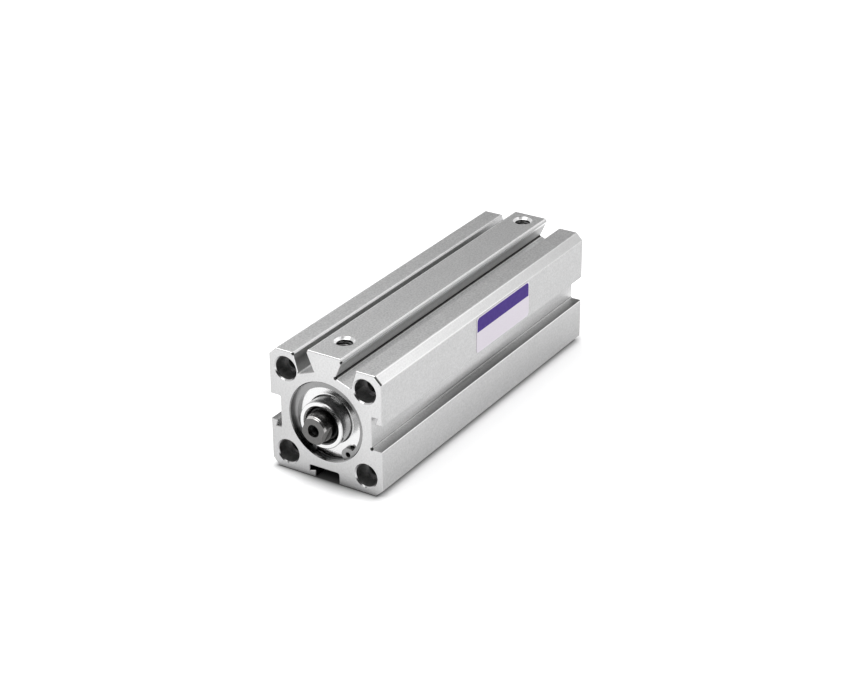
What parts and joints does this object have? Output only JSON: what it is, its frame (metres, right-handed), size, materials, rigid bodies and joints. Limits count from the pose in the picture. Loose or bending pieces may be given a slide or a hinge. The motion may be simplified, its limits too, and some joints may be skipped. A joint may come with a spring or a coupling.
{
  "type": "compact pneumatic cylinder",
  "caption": "Compact square-bodied pneumatic cylinder with sensor grooves, top ports, corner mounting holes and a sliding rod with wrench flats and an internal thread.",
  "frame": {"origin": "on the rod axis, in the plane of the front mounting face, which is the middle of the front boss", "axes": "+X along the rod axis, the way the rod comes out; +Z towards the two ports; +Y towards the side with the label"},
  "size_m": [0.11, 0.0341, 0.036],
  "materials": {
    "body_aluminium": "clear anodised extrusion, fine lines along its length",
    "cover_aluminium": "turned, fine rings about the axis",
    "rear_cover_aluminium": "turned, fine rings about the axis",
    "piston_aluminium": "turned",
    "spring_steel": "phosphated spring steel, dull gray",
    "rod_steel": "ground steel with a turned end",
    "screw_steel": "zinc-plated",
    "bush_bronze": "sintered, dull",
    "magnet_ferrite": "dark gray, matte",
    "wear_plastic": "natural acetal",
    "bumper_urethane": "amber urethane, satin",
    "seal_rubber": "black, satin",
    "rod_seal_rubber": "black, satin",
    "label_film": "printed film, purple band along the top over a near-white field"
  },
  "bodies": {
    "barrel": {"cylinder_body": "body_aluminium", "front_cover": "cover_aluminium", "front_cover_o_ring": "seal_rubber", "rod_seal": "rod_seal_rubber", "rod_bush": "bush_bronze", "front_retaining_ring": "spring_steel", "front_bumper": "bumper_urethane", "rear_cover": "rear_cover_aluminium", "rear_cover_o_ring": "seal_rubber", "rear_retaining_ring": "spring_steel", "rear_bumper": "bumper_urethane", "label": "label_film"},
    "piston_rings": {"wear_ring": "wear_plastic", "piston_seal": "seal_rubber"},
    "rod": {"piston_rod": "rod_steel", "piston_o_ring": "seal_rubber", "piston": "piston_aluminium", "magnet": "magnet_ferrite", "magnet_washers": "seal_rubber", "magnet_holder": "piston_aluminium", "piston_screw": "screw_steel"}
  },
  "joints": [
    {"name": "rod_slide", "type": "slide", "parent": "barrel", "child": "piston_rings", "axis": [1, 0, 0], "range_m": [0, 0.075]},
    {"name": "rod_turn", "type": "hinge", "parent": "piston_rings", "child": "rod", "pos_m": [0, 0, 0], "axis": [1, 0, 0], "continuous": true}
  ]
}
